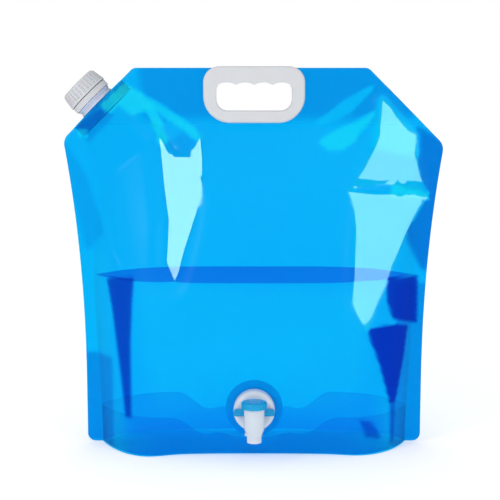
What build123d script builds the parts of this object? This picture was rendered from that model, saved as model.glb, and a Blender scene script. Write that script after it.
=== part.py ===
from build123d import *
import math
import os

# Collapsible stand-up water bag: two film panels and a bottom gusset, a screw-capped
# spout across the upper left corner, a two-part carry handle and a push-button tap.
# Millimetres.  X to the right, Y to the back, Z up, origin on the floor at the middle
# of the base.  Every dimension below is in millimetres.

# ---------------------------------------------------------------- film
FILM = 0.6                  # film thickness
BAG_TOP = 373.5             # top edge of the film
FOOT_HALF = 167.0           # half width of the film near the floor
SHOULDER_HALF = 186.0       # half width of the film at the shoulders
SHOULDER_Z = 304.5          # height of the left shoulder, where the corner is cut off for the spout
RIGHT_SHOULDER_Z = 299.0    # the right corner is cut off a little deeper
FLARE_Z = 60.0              # the sides start to flare outwards here
FLARE_POWER = 2.2
FLAT_FOOT = 125.0           # half width that stands on the floor
FOOT_ARCH = [(0.0, 1.6), (30.0, 1.4), (60.0, 0.8), (90.0, 0.3)]    # lower edge, raised in the middle
FOOT_LIFT = 1.5             # the corners of the film stop this far above the floor
FOOT_ROUND = 8.0
SHOULDER_ROUND = 13.0
TOP_ROUND = 8.0

# ---------------------------------------------------------------- shape of the filled bag
BASE_DEPTH = 42.0           # half depth at the floor
MID_DEPTH = 57.0            # half depth of the body
DEPTH_Z = 100.0             # the full depth is reached at this height
CLOSE_SPAN = 217.0          # height over which the body closes towards the top seal
CLOSE_POWER = 2.2
CAVITY_FOOT = 152.0         # half width of the cavity at the floor
CAVITY_FLARE = 25.0         # how much wider the cavity is at the top
CAVITY_POWER = 1.6
SIDE_POWER = 4.5            # how square the cross-section is
FOOT_SQUARE = 4.0           # extra squareness at the floor
SEAL_DIP = 6.0              # how far the bulge surface passes behind the seal
GRID_X = 72                 # spans of the film surface across the bag
GRID_Z = 60                 # spans up the bag
GRID_TOLERANCE = 0.1
GRID_OVER = 8.0             # the surface runs past the film's outline by this
GUSSET_HALF = 147.0
GUSSET_RIM = [(0.0, 12.0), (30.0, 12.4), (60.0, 14.0), (90.0, 18.0), (120.0, 24.0), (GUSSET_HALF, 30.0)]
WELD_GAP = 0.1              # between two films that are welded together

# ---------------------------------------------------------------- spout and cap
# The spout's own frame has its origin in the middle of the cut-off corner, X along the
# corner's edge and Z along the spout, pointing out of the bag.
CORNER_SUM = SHOULDER_HALF + SHOULDER_Z
CORNER_TOP_X = CORNER_SUM - BAG_TOP
SPOUT_X = -(SHOULDER_HALF + CORNER_TOP_X) / 2
SPOUT_Z = (SHOULDER_Z + BAG_TOP) / 2
BOAT_THICK = 16.0           # half thickness of the boat-shaped weld base
BOAT_HALF = 33.0            # half length of the boat
BOAT_DEEP = 12.5            # how deep the boat sits in the bag
BOAT_GAP = 0.2
BOAT_GROOVES = 3            # weld grooves round the boat
GROOVE_FIRST = -10.6
GROOVE_STEP = 3.2
GROOVE_HIGH = 1.4
GROOVE_IN = 0.5
CHANNEL_START = 14.0        # behind the boat the film's channel narrows from here ...
CHANNEL_END = 80.0          # ... to here, where it is inside the body
CHANNEL_END_THICK = 5.0
CHANNEL_END_HALF = 46.0
BORE_R = 13.5
NECK_R = 15.5
NECK_TOP = 24.4
COLLAR_R = 19.0
COLLAR_TOP = 6.3
COLLAR_GROOVE = (2.0, 4.4)  # holding groove round the collar
COLLAR_GROOVE_DEPTH = 0.8
BAND_R = 20.6               # tamper band
BAND_ROUND = 0.6
BAND_IN = 17.2
BAND_FROM = 6.5
BAND_TO = 12.5
CAP_FROM = 13.0
CAP_TO = 27.4
CAP_FOOT_R = 21.5
CAP_SHOULDER_R = 19.75
CAP_SHOULDER = 3.0          # the sides end this far below the top ...
CAP_TOP_R = 19.25
CAP_BEVEL = 1.6             # ... and the top edge is bevelled by this
CAP_IN = 17.0
CAP_ROOF = 25.6
CAP_RIBS = 30
RIB_GAP_WIDTH = 1.9
RIB_GAP_DEPTH = 1.0
RIB_FROM = 2.2              # the cap's foot is smooth up to this height
LINER_R = 14.8
LINER_GAP = 0.05
THREAD_PITCH = 6.0
NECK_THREAD_FROM = 15.0
NECK_THREAD_RISE = 7.5
NECK_CREST_R = 16.7
CAP_CREST_R = 16.0
CAP_THREAD_RISE = 6.0
NECK_RIDGE = (2.4, 1.0)     # width of the thread's ridge at its root and crest
CAP_RIDGE = (2.0, 0.8)
THREAD_OFFSET = 1.7         # the cap's ridge lies this far under the neck's ridge

# ---------------------------------------------------------------- carry handle
HANDLE_HALF = 49.2
HANDLE_LOW = 320.5
HANDLE_HIGH = 375.0
HANDLE_THICK = 7.5          # one half, measured from the middle of the film
HANDLE_FACE = 0.7           # inner face of each half
HANDLE_TOP_ROUND = 15.5
HANDLE_FOOT_ROUND = 26.0
HANDLE_EDGE = 2.5
GRIP_HALF = 36.8
GRIP_LOW = 332.0
GRIP_HIGH = 359.5
GRIP_GROOVES = 4            # finger grooves along the top of the grip
GROOVE_DEPTH = 2.4
GRIP_SIDE = 1.5             # the grooves stop this far from the ends of the grip
GRIP_ROUND = 11.0
GRIP_TOP_ROUND = 5.0
RIM_WALL = 3.2              # the halves meet in this rim, inside the film's slot
SLOT_GAP = 0.8
PIN_R = 2.0
PIN_SOCKET_R = 2.05
PIN_HOLE_R = 2.5
PIN_REACH = 5.0
PIN_GAP = 0.3               # free room at the end of a socket
PIN_PLACES = [(side * x, z) for side in (-1, 1) for x, z in ((45.1, 345.0), (24.0, 324.3), (25.0, 368.2))]

# ---------------------------------------------------------------- tap
# The tap's socket points along -Y.  The barrel stands in front of it, along Z.
TAP_Z = 49.5
TAP_FLAT_R = 32.5           # the front film is flat inside this radius
TAP_BLEND_R = 48.0
TAP_FACE = 53.5             # distance of the flat film's inner face from the middle plane
SEAT_GAP = 0.05
FLANGE_R = 27.5
FLANGE_THICK = 1.8
SPIGOT_R = 13.4
SPIGOT_BORE_R = 10.0
SPIGOT_END = 62.5
FILM_HOLE_R = 14.6
GASKET_IN = 14.2
GASKET_OUT = 18.2
GASKET_THICK = 1.5
NUT_R = 19.8
NUT_IN = 13.5
NUT_WALL = 65.4             # inner face of the nut's front wall
NUT_FRONT = 67.2
NUT_HOLE_R = 9.0
NUT_ROUND = 4.5
TAIL_R = 12.8
TAIL_FROM = 64.05
TAIL_TO = 65.35
HUB_R = 8.6
SEAL_IN = 9.0
BARREL_Y = -82.0
BARREL_R = 9.6
CHAMBER_R = 8.2
BARREL_LOW = 37.6
BARREL_TOP = 58.2
LINK_Z = 47.2               # axis of the short tube between the nut and the barrel
LINK_R = 6.2
PASSAGE_R = 3.8
LEDGE_LOW = 38.0
LEDGE_TOP = 39.5
LEDGE_HOLE_R = 4.2
NOZZLE_R = 6.9
NOZZLE_BORE_R = 5.6
NOZZLE_LOW = 24.5
STOP_R = 7.4                # a hose pushed over the nozzle stops at this shoulder
STOP_LOW = 30.5
CONE_LOW = 31.8
SEAT_BORE_R = 6.1           # room for the valve seal above the nozzle's bore
SEAT_BORE_LOW = 31.5
LUG_SIZE = (3.0, 3.0, 2.2)
LUG_Z = 31.9
CLIP_IN = 6.25
CLIP_OUT = 8.6
CLIP_FROM = 68.3
CLIP_TO = 71.3
CLIP_MOUTH = 9.0
WING_REACH = 19.4
WING_LOW = 46.4
WING_HIGH = 53.2
WING_ROUND = 2.2
BUTTON_R = 12.0
BUTTON_IN = 10.0
BUTTON_LOW = 57.7
BUTTON_TOP = 63.7
BUTTON_ROOF = 1.8
BUTTON_ROUND = 1.6
PISTON_R = 7.9
PISTON_LOW = 55.2
O_RING_Z = 57.0
O_RING_R = 0.85             # section radius
O_RING_MEAN = 7.3
O_RING_GROOVE = 6.4
STEM_R = 2.0
STEM_SOCKET_R = 2.05
STEM_TOP = 59.9
STEM_HEAD_R = 3.2
STEM_LOW = 34.4
SEAL_LOW = 35.9
SEAL_HIGH = 37.9
SEAL_R = 5.4
SPRING_MEAN = 5.2
SPRING_WIRE = 0.4
SPRING_TURNS = 5.5

ABOVE = (Align.CENTER, Align.CENTER, Align.MIN)
SPOUT = Plane(origin=(SPOUT_X, 0, SPOUT_Z), x_dir=(1, 0, 1), z_dir=(-1, 0, 1))


def smoothstep(t):
    t = min(1.0, max(0.0, t))
    return t * t * t * (t * (6 * t - 15) + 10)


def tube_z(outer, inner, low, high):
    """A tube along Z, or a solid rod when inner is 0."""
    body = Pos(0, 0, low) * Cylinder(outer, high - low, align=ABOVE)
    if inner > 0:
        body -= Pos(0, 0, low - 1) * Cylinder(inner, high - low + 2, align=ABOVE)
    return body


def tube_front(outer, inner, near, far, height):
    """A tube along -Y, from near to far in front of the middle plane, at a height."""
    facing = Plane(origin=(0, 0, height), x_dir=(1, 0, 0), z_dir=(0, -1, 0))
    return facing * tube_z(outer, inner, near, far)


# ---------------------------------------------------------------- film surface
def body_bulge(x, z):
    """Half depth of the cavity; outside the seals it levels out just behind the middle plane."""
    depth = MID_DEPTH - (MID_DEPTH - BASE_DEPTH) * max(0.0, 1 - z / DEPTH_Z) ** 2
    half = CAVITY_FOOT + CAVITY_FLARE * (max(z, 0.0) / (DEPTH_Z + CLOSE_SPAN)) ** CAVITY_POWER
    power = SIDE_POWER + FOOT_SQUARE * math.exp(-max(z, 0.0) / 40.0)
    closing = max(0.0, (z - DEPTH_Z) / CLOSE_SPAN) ** CLOSE_POWER
    bulge = depth * (1 - (abs(x) / half) ** power - closing)
    return bulge if bulge > 0 else -SEAL_DIP * math.tanh(-bulge / SEAL_DIP)


def half_depth(x, z, with_tap):
    """Distance of the film's inner face from the middle plane, level around the tap."""
    depth = body_bulge(x, z)
    if with_tap:
        from_tap = math.hypot(x, z - TAP_Z)
        level = 1 - smoothstep((from_tap - TAP_FLAT_R) / (TAP_BLEND_R - TAP_FLAT_R))
        depth += (TAP_FACE - depth) * level
    return depth


def bulge_face(with_tap):
    """The inner face of the front film as one smooth surface."""
    reach = SHOULDER_HALF + GRID_OVER
    rows = []
    for j in range(GRID_Z + 1):
        z = -GRID_OVER + (BAG_TOP + 2 * GRID_OVER) * j / GRID_Z
        xs = [-reach + 2 * reach * i / GRID_X for i in range(GRID_X + 1)]
        rows.append([Vector(x, -half_depth(x, z, with_tap), z) for x in xs])
    return Face.make_surface_from_array_of_points(rows, tol=GRID_TOLERANCE, min_deg=3, max_deg=3)


FACES = {with_tap: bulge_face(with_tap) for with_tap in (True, False)}


def bulge_block(with_tap, offset):
    """Everything between the middle plane and the film's inner face moved out by offset."""
    deep = extrude(Pos(0, -offset, 0) * FACES[with_tap], amount=2 * MID_DEPTH, dir=(0, 1, 0))
    return deep - behind_middle()


def behind_middle():
    size = 4 * BAG_TOP
    return Pos(0, size / 2, 0) * Box(size, size, size)


def boat_lens(half_thick, half_length):
    """The boat's section: two arcs that meet in points at both ends."""
    front = ThreePointArc((-half_length, 0), (0, -half_thick), (half_length, 0))
    back = ThreePointArc((half_length, 0), (0, half_thick), (-half_length, 0))
    return make_face([front, back])


def channel_block(offset):
    """The film's passage from the boat into the body, on the front side of the middle plane."""
    grow = BOAT_GAP + offset
    lens = boat_lens(BOAT_THICK + grow, BOAT_HALF + grow * BOAT_HALF / BOAT_THICK)
    neck = extrude(Pos(0, 0, -CHANNEL_START) * lens, amount=2 * CHANNEL_START)
    inner_lens = boat_lens(CHANNEL_END_THICK + offset, CHANNEL_END_HALF + offset)
    funnel = loft([Pos(0, 0, -CHANNEL_END) * inner_lens, Pos(0, 0, -CHANNEL_START) * lens])
    return SPOUT * (neck + funnel) - behind_middle()


def side_x(z):
    """Half width of the film at a height."""
    rise = (z - FLARE_Z) / (SHOULDER_Z - FLARE_Z)
    return FOOT_HALF + (SHOULDER_HALF - FOOT_HALF) * rise**FLARE_POWER


def outline_half(depth, shoulder_z):
    """The right half of the film's outline, with its corner cut off at 45 degrees."""
    steps = 6
    heights = [FLARE_Z + (shoulder_z - FLARE_Z) * i / steps for i in range(steps + 1)]
    flare = Spline([(side_x(z), z) for z in heights])
    shoulder_x = side_x(shoulder_z)
    top_x = shoulder_x + shoulder_z - BAG_TOP
    half = [
        Polyline(*FOOT_ARCH, (FLAT_FOOT, 0), (CAVITY_FOOT, FOOT_LIFT)),
        Line((CAVITY_FOOT, FOOT_LIFT), (FOOT_HALF, FOOT_LIFT)),
        Line((FOOT_HALF, FOOT_LIFT), (FOOT_HALF, FLARE_Z)),
        flare,
        Line((shoulder_x, shoulder_z), (top_x, BAG_TOP)),
        Line((top_x, BAG_TOP), (0, BAG_TOP)),
        Line((0, BAG_TOP), FOOT_ARCH[0]),
    ]
    solid = extrude(Plane.XZ * make_face(half), amount=depth, dir=(0, -1, 0))
    rounds = [(FOOT_HALF, FOOT_LIFT, FOOT_ROUND), (shoulder_x, shoulder_z, SHOULDER_ROUND),
              (top_x, BAG_TOP, TOP_ROUND)]
    for x, z, radius in rounds:
        edge = solid.edges().filter_by(Axis.Y).sort_by_distance((x, -depth / 2, z))[0]
        solid = fillet(edge, radius)
    return solid


def outline_prism(depth):
    """The film's outline, standing from the middle plane to depth in front of it."""
    left = mirror(outline_half(depth, SHOULDER_Z), about=Plane.YZ)
    return left + outline_half(depth, RIGHT_SHOULDER_Z)


def film_panel(with_tap):
    """The front panel; the back panel is the same without the tap, mirrored."""
    outer = (bulge_block(with_tap, FILM) + channel_block(FILM)) & outline_prism(2 * MID_DEPTH)
    panel = outer + outline_prism(FILM) - bulge_block(with_tap, 0) - channel_block(0)
    panel -= grip_shape(RIM_WALL + SLOT_GAP, -1, 2)
    for x, z in PIN_PLACES:
        panel -= Pos(x, 0, 0) * tube_front(PIN_HOLE_R, 0, -1, 2, z)
    if with_tap:
        panel -= tube_front(FILM_HOLE_R, 0, TAP_FACE - 10, TAP_FACE + 10, TAP_Z)
    return panel


def front_panel():
    return film_panel(True)


def back_panel():
    return mirror(film_panel(False), about=Plane.XZ)


def bottom_gusset():
    """A shallow tray: the floor film with its rim turned up inside the panels, higher at the corners."""
    side = Polyline((0, 0), *GUSSET_RIM, (GUSSET_HALF, 0), close=True)
    right = extrude(Plane.XZ * make_face(side), amount=2 * MID_DEPTH, both=True)
    rim = right + mirror(right, about=Plane.YZ)
    hollow = Pos(0, 0, FILM) * Box(4 * GUSSET_HALF, 4 * MID_DEPTH, BAG_TOP, align=ABOVE)
    halves = []
    for with_tap in (True, False):
        outer = bulge_block(with_tap, -WELD_GAP) & rim
        half = outer - (bulge_block(with_tap, -WELD_GAP - FILM) & hollow)
        halves.append(half if with_tap else mirror(half, about=Plane.XZ))
    return halves[0] + halves[1]


# ---------------------------------------------------------------- spout and cap
def thread_ridge(root_r, crest_r, low, rise, widths, start_turn):
    """One helical ridge, standing out from root_r to crest_r."""
    root_width, crest_width = widths
    path = Helix(pitch=THREAD_PITCH, height=rise, radius=root_r)
    section_plane = Plane(origin=path @ 0, x_dir=(1, 0, 0), z_dir=path % 0)
    tall = crest_r - root_r
    corners = [(0, -root_width / 2), (tall, -crest_width / 2), (tall, crest_width / 2), (0, root_width / 2)]
    section = section_plane * Polygon(*corners, align=None)
    return Pos(0, 0, low) * Rot(0, 0, start_turn) * sweep(section, path=path, is_frenet=True)


def boat_slab(shrink, low, high):
    """A slice of the boat, smaller all round by shrink."""
    lens = boat_lens(BOAT_THICK - shrink, BOAT_HALF - shrink * BOAT_HALF / BOAT_THICK)
    return extrude(Pos(0, 0, low) * lens, amount=high - low)


def spout_fitment():
    body = boat_slab(0, -BOAT_DEEP, -0.5)
    for i in range(BOAT_GROOVES):
        low = GROOVE_FIRST + i * GROOVE_STEP
        body -= boat_slab(-1, low, low + GROOVE_HIGH) - boat_slab(GROOVE_IN, low, low + GROOVE_HIGH)
    body += tube_z(NECK_R, 0, -1, NECK_TOP)
    body += tube_z(COLLAR_R, 0, 0, COLLAR_TOP)
    body -= tube_z(COLLAR_R + 1, COLLAR_R - COLLAR_GROOVE_DEPTH, *COLLAR_GROOVE)
    body -= tube_z(BORE_R, 0, -BOAT_DEEP - 1, NECK_TOP + 1)
    body += thread_ridge(NECK_R - 0.1, NECK_CREST_R, NECK_THREAD_FROM, NECK_THREAD_RISE, NECK_RIDGE, 0)
    return SPOUT * body


def tamper_ring():
    ring = tube_z(BAND_R, BAND_IN, BAND_FROM, BAND_TO)
    ring = fillet(ring.edges().filter_by(GeomType.CIRCLE).sort_by(SortBy.RADIUS)[-2:], BAND_ROUND)
    return SPOUT * ring


def screw_cap():
    side_top = CAP_TO - CAP_SHOULDER
    profile = [(0, CAP_FROM), (CAP_FOOT_R, CAP_FROM), (CAP_SHOULDER_R, side_top),
               (CAP_TOP_R, CAP_TO - CAP_BEVEL), (CAP_TOP_R - CAP_BEVEL, CAP_TO), (0, CAP_TO)]
    shell = revolve(Plane.XZ * make_face(Polyline(*profile, close=True)), axis=Axis.Z)
    shell -= tube_z(CAP_IN, 0, CAP_FROM - 1, CAP_ROOF)
    lean = math.degrees(math.atan2(CAP_FOOT_R - CAP_SHOULDER_R, side_top - CAP_FROM))
    tall = CAP_TO - CAP_FROM
    gap = Pos(0, 0, tall) * Box(2 * RIB_GAP_DEPTH, RIB_GAP_WIDTH, 2 * tall)
    at_side = Pos(CAP_FOOT_R, 0, CAP_FROM + RIB_FROM) * Rot(0, -lean, 0)
    for i in range(CAP_RIBS):
        shell -= Rot(0, 0, 360 * i / CAP_RIBS) * at_side * gap
    ridge_from = NECK_THREAD_FROM + THREAD_PITCH / 2 - THREAD_OFFSET
    shell += thread_ridge(CAP_IN + 0.1, CAP_CREST_R, ridge_from, CAP_THREAD_RISE, CAP_RIDGE, 180)
    return SPOUT * shell


def cap_liner():
    return SPOUT * tube_z(LINER_R, 0, NECK_TOP + LINER_GAP, CAP_ROOF - LINER_GAP)


# ---------------------------------------------------------------- carry handle
def prism_front(sketch, near, far):
    """A sketch in X and Z, standing from near to far in front of the middle plane."""
    solid = extrude(Plane.XZ * sketch, amount=far - near, dir=(0, -1, 0))
    return Pos(0, -near, 0) * solid


def rounded_block(half, low, high, low_round, high_round, near, far):
    block = prism_front(Pos(0, (low + high) / 2) * Rectangle(2 * half, high - low), near, far)
    upright = block.edges().filter_by(Axis.Y).sort_by(Axis.Z)
    block = fillet(upright[:2], low_round)
    upright = block.edges().filter_by(Axis.Y).sort_by(Axis.Z)
    return fillet(upright[-2:], high_round)


def grip_shape(grow, near, far):
    """The hand opening, grown by a margin.  The finger grooves are cut only at margin 0."""
    high = GRIP_HIGH - GROOVE_DEPTH if grow == 0 else GRIP_HIGH + grow
    shape = rounded_block(GRIP_HALF + grow, GRIP_LOW - grow, high, GRIP_ROUND, GRIP_TOP_ROUND, near, far)
    if grow == 0:
        width = 2 * (GRIP_HALF - GRIP_SIDE) / GRIP_GROOVES
        radius = ((width / 2) ** 2 + GROOVE_DEPTH**2) / (2 * GROOVE_DEPTH)
        strip = Rectangle(2 * GRIP_HALF, 4 * GROOVE_DEPTH)
        band = prism_front(Pos(0, GRIP_HIGH - 2 * GROOVE_DEPTH) * strip, near, far)
        for i in range(GRIP_GROOVES):
            x = (i - (GRIP_GROOVES - 1) / 2) * width
            scallop = Pos(x, 0, 0) * tube_front(radius, 0, near, far, GRIP_HIGH - radius)
            slice_x = prism_front(Pos(x, GRIP_HIGH) * Rectangle(width, 8 * GROOVE_DEPTH), near, far)
            shape += scallop & band & slice_x
    return shape


def handle_half(pins):
    """The front half; pins=True gives the pins of the back half, False the sockets."""
    body = rounded_block(HANDLE_HALF, HANDLE_LOW, HANDLE_HIGH, HANDLE_FOOT_ROUND, HANDLE_TOP_ROUND,
                         HANDLE_FACE, HANDLE_THICK)
    face = body.faces().sort_by(Axis.Y)[0]
    body = fillet(face.edges(), HANDLE_EDGE)
    body += grip_shape(RIM_WALL, 0, HANDLE_FACE + 1)
    body -= grip_shape(0, -1, HANDLE_THICK + 1)
    for x, z in PIN_PLACES:
        if pins:
            body += Pos(x, 0, 0) * tube_front(PIN_R, 0, -PIN_REACH, HANDLE_FACE + 1, z)
        else:
            body -= Pos(x, 0, 0) * tube_front(PIN_SOCKET_R, 0, -1, PIN_REACH + PIN_GAP, z)
    return body


def handle_front():
    return handle_half(False)


def handle_back():
    return mirror(handle_half(True), about=Plane.XZ)


# ---------------------------------------------------------------- tap
def tap_flange():
    disc = tube_front(FLANGE_R, SPIGOT_BORE_R, TAP_FACE - SEAT_GAP - FLANGE_THICK, TAP_FACE - SEAT_GAP, TAP_Z)
    spigot = tube_front(SPIGOT_R, SPIGOT_BORE_R, TAP_FACE - SEAT_GAP - 1, SPIGOT_END, TAP_Z)
    return disc + spigot


def tap_gasket():
    near = TAP_FACE + FILM + SEAT_GAP
    return tube_front(GASKET_OUT, GASKET_IN, near, near + GASKET_THICK, TAP_Z)


def tap_nut():
    near = TAP_FACE + FILM + 2 * SEAT_GAP + GASKET_THICK
    nut = tube_front(NUT_R, 0, near, NUT_FRONT, TAP_Z)
    nut = fillet(nut.faces().sort_by(Axis.Y)[0].edges(), NUT_ROUND)
    nut -= tube_front(NUT_IN, 0, near - 1, NUT_WALL, TAP_Z)
    nut -= tube_front(NUT_HOLE_R, 0, NUT_WALL - 1, NUT_FRONT + 1, TAP_Z)
    return nut


def tap_tail_seal():
    return tube_front(TAIL_R, SEAL_IN, SPIGOT_END + SEAT_GAP, TAIL_FROM - SEAT_GAP, TAP_Z)


def tap_body():
    upright = tube_z(BARREL_R, 0, BARREL_LOW, BARREL_TOP)
    upright += Pos(0, 0, CONE_LOW) * Cone(STOP_R, BARREL_R, BARREL_LOW - CONE_LOW, align=ABOVE)
    upright += tube_z(STOP_R, 0, STOP_LOW, CONE_LOW)
    upright += tube_z(NOZZLE_R, 0, NOZZLE_LOW, STOP_LOW)
    upright += Pos(-STOP_R, 0, LUG_Z) * Box(*LUG_SIZE)
    body = Pos(0, BARREL_Y, 0) * upright
    body += tube_front(TAIL_R, 0, TAIL_FROM, TAIL_TO, TAP_Z)
    body += tube_front(HUB_R, 0, TAIL_TO - 0.5, NUT_FRONT + 0.3, TAP_Z)
    body += tube_front(LINK_R, 0, NUT_FRONT, -BARREL_Y, LINK_Z)
    body -= tube_front(PASSAGE_R, 0, TAIL_FROM - 1, -BARREL_Y, LINK_Z)
    bores = [(CHAMBER_R, LEDGE_TOP, BARREL_TOP + 1), (LEDGE_HOLE_R, LEDGE_LOW - 1, LEDGE_TOP + 1),
             (SEAT_BORE_R, SEAT_BORE_LOW, LEDGE_LOW), (NOZZLE_BORE_R, NOZZLE_LOW - 1, SEAT_BORE_LOW + 0.1)]
    for radius, low, high in bores:
        body -= Pos(0, BARREL_Y, 0) * tube_z(radius, 0, low, high)
    return body


def finger_wings():
    """A clip that snaps on the link tube from below, with a finger wing on each side."""
    clip = tube_front(CLIP_OUT, 0, CLIP_FROM, CLIP_TO, LINK_Z)
    bar = Pos(0, (WING_LOW + WING_HIGH) / 2) * Rectangle(2 * WING_REACH, WING_HIGH - WING_LOW)
    wide = prism_front(bar, CLIP_FROM, CLIP_TO)
    wide = fillet(wide.edges().filter_by(Axis.Y), WING_ROUND)
    body = clip + wide
    body -= tube_front(CLIP_IN, 0, CLIP_FROM - 1, CLIP_TO + 1, LINK_Z)
    body -= Pos(0, -CLIP_FROM, LINK_Z) * Box(CLIP_MOUTH, 4 * (CLIP_TO - CLIP_FROM), 30, align=ABOVE)
    body -= Pos(0, -CLIP_FROM, WING_HIGH) * Box(4 * WING_REACH, 20, 20, align=ABOVE)
    return body


def push_button():
    cup = tube_z(BUTTON_R, 0, BUTTON_LOW, BUTTON_TOP)
    cup = fillet(cup.faces().sort_by(Axis.Z)[-1].edges(), BUTTON_ROUND)
    cup -= tube_z(BUTTON_IN, 0, BUTTON_LOW - 1, BUTTON_TOP - BUTTON_ROOF)
    piston = tube_z(PISTON_R, 0, PISTON_LOW, BUTTON_TOP - 1)
    groove_half = O_RING_R + 0.1
    piston -= tube_z(PISTON_R + 1, O_RING_GROOVE, O_RING_Z - groove_half, O_RING_Z + groove_half)
    body = cup + piston
    body -= tube_z(STEM_SOCKET_R, 0, PISTON_LOW - 1, STEM_TOP + 0.1)
    return Pos(0, BARREL_Y, 0) * body


def piston_o_ring():
    return Pos(0, BARREL_Y, O_RING_Z) * Torus(O_RING_MEAN, O_RING_R)


def valve_stem():
    stem = tube_z(STEM_R, 0, STEM_LOW, STEM_TOP)
    stem += tube_z(STEM_HEAD_R, 0, STEM_LOW, SEAL_LOW - SEAT_GAP)
    return Pos(0, BARREL_Y, 0) * stem


def valve_seal():
    return Pos(0, BARREL_Y, 0) * tube_z(SEAL_R, STEM_SOCKET_R, SEAL_LOW, SEAL_HIGH)


def return_spring():
    low = LEDGE_TOP + SPRING_WIRE + SEAT_GAP
    high = PISTON_LOW - SPRING_WIRE - SEAT_GAP
    path = Helix(pitch=(high - low) / SPRING_TURNS, height=high - low, radius=SPRING_MEAN)
    section = Plane(origin=path @ 0, z_dir=path % 0) * Circle(SPRING_WIRE)
    return Pos(0, BARREL_Y, low) * sweep(section, path=path, is_frenet=True)


NODES = [
    front_panel, back_panel, bottom_gusset, spout_fitment, tamper_ring, screw_cap, cap_liner,
    handle_front, handle_back, tap_flange, tap_gasket, tap_nut, tap_tail_seal, tap_body,
    finger_wings, push_button, piston_o_ring, valve_stem, valve_seal, return_spring,
]

os.makedirs("parts", exist_ok=True)
for make in NODES:
    export_step(make(), f"parts/{make.__name__}.step")
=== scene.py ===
import math

import bmesh
import bpy
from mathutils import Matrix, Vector
from mathutils.geometry import delaunay_2d_cdt

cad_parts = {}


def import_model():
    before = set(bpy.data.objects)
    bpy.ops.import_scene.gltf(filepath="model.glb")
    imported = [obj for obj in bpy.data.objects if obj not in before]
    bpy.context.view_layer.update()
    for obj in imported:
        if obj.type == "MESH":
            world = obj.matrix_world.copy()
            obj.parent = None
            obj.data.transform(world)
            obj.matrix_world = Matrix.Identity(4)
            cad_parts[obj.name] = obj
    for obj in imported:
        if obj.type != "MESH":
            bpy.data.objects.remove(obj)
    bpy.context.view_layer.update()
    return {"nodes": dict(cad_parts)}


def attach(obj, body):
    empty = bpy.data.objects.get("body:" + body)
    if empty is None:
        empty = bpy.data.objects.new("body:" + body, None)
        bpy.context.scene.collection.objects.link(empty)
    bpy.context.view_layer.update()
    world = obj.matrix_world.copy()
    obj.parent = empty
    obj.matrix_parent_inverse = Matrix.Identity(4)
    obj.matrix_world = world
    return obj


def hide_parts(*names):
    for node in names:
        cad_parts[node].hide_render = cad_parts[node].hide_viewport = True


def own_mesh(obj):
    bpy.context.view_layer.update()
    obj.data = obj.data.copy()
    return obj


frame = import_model()
scene = bpy.context.scene

# Lengths in this script are millimetres in the part's frame; MM turns them into metres.
MM = 0.001

# ---------------------------------------------------------------- sizes shared with the CAD
BAG_TOP = 373.5             # top edge of the film
FOOT_HALF = 167.0           # half width of the film near the floor
SHOULDER_HALF = 186.0       # half width of the film at the shoulders
SHOULDER_Z = 304.5          # left shoulder, under the spout
RIGHT_SHOULDER_Z = 299.0
SHOULDER_ROUND = 13.0
TOP_ROUND = 8.0
FLARE_Z = 60.0              # the sides start to flare outwards here
FLARE_POWER = 2.2
FOOT_ARCH = [(0.0, 1.6), (30.0, 1.4), (60.0, 0.8), (90.0, 0.3), (125.0, 0.0), (152.0, 1.5)]
FOOT_LIFT = 1.5             # the film's lower corners stop this far above the floor
FOOT_ROUND = 8.0
BASE_DEPTH = 42.0           # half depth at the floor
MID_DEPTH = 57.0            # half depth of the body
DEPTH_Z = 100.0             # the full depth is reached at this height
CLOSE_SPAN = 217.0          # height over which the body closes towards the top seal
CLOSE_POWER = 2.2
CAVITY_FOOT = 152.0         # half width of the cavity at the floor
CAVITY_FLARE = 25.0         # how much wider the cavity is at the top
CAVITY_POWER = 1.6
SIDE_POWER = 4.5            # how square the cross-section is
FOOT_SQUARE = 4.0           # extra squareness at the floor ...
FOOT_FADE = 40.0            # ... which fades out with this height
CORNER_TOP_X = SHOULDER_HALF + SHOULDER_Z - BAG_TOP
SPOUT_X = -(SHOULDER_HALF + CORNER_TOP_X) / 2
SPOUT_Z = (SHOULDER_Z + BAG_TOP) / 2
BOAT_ARC = 42.0             # radius of the two arcs of the spout's boat-shaped base
BOAT_THICK = 16.0           # half thickness of the boat
BOAT_GAP = 0.5
CHANNEL_START = 14.0        # behind the boat the film's channel narrows from here ...
CHANNEL_SPAN = 74.0         # ... over this length
CHANNEL_WIDEN = 0.5         # and grows this much longer on the way
TAP_Z = 49.5
TAP_FLAT_R = 32.5           # the front film is flat inside this radius
TAP_BLEND_R = 48.0
TAP_FACE = 53.5             # depth of the flat film
FILM_HOLE_R = 14.6          # hole for the tap
SLOT_HALF = 40.8            # slot for the handle's rim
SLOT_LOW = 328.0
SLOT_HIGH = 363.5
SLOT_LOW_ROUND = 15.0
SLOT_HIGH_ROUND = 9.0
BARREL_Y = -82.0            # axis of the tap's barrel
SPRING_LOW = 39.5
SPRING_HIGH = 55.2
SPRING_MEAN = 5.2           # mean radius of the coil
SPRING_WIRE = 0.4           # radius of the wire
SPRING_TURNS = 5.5

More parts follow.
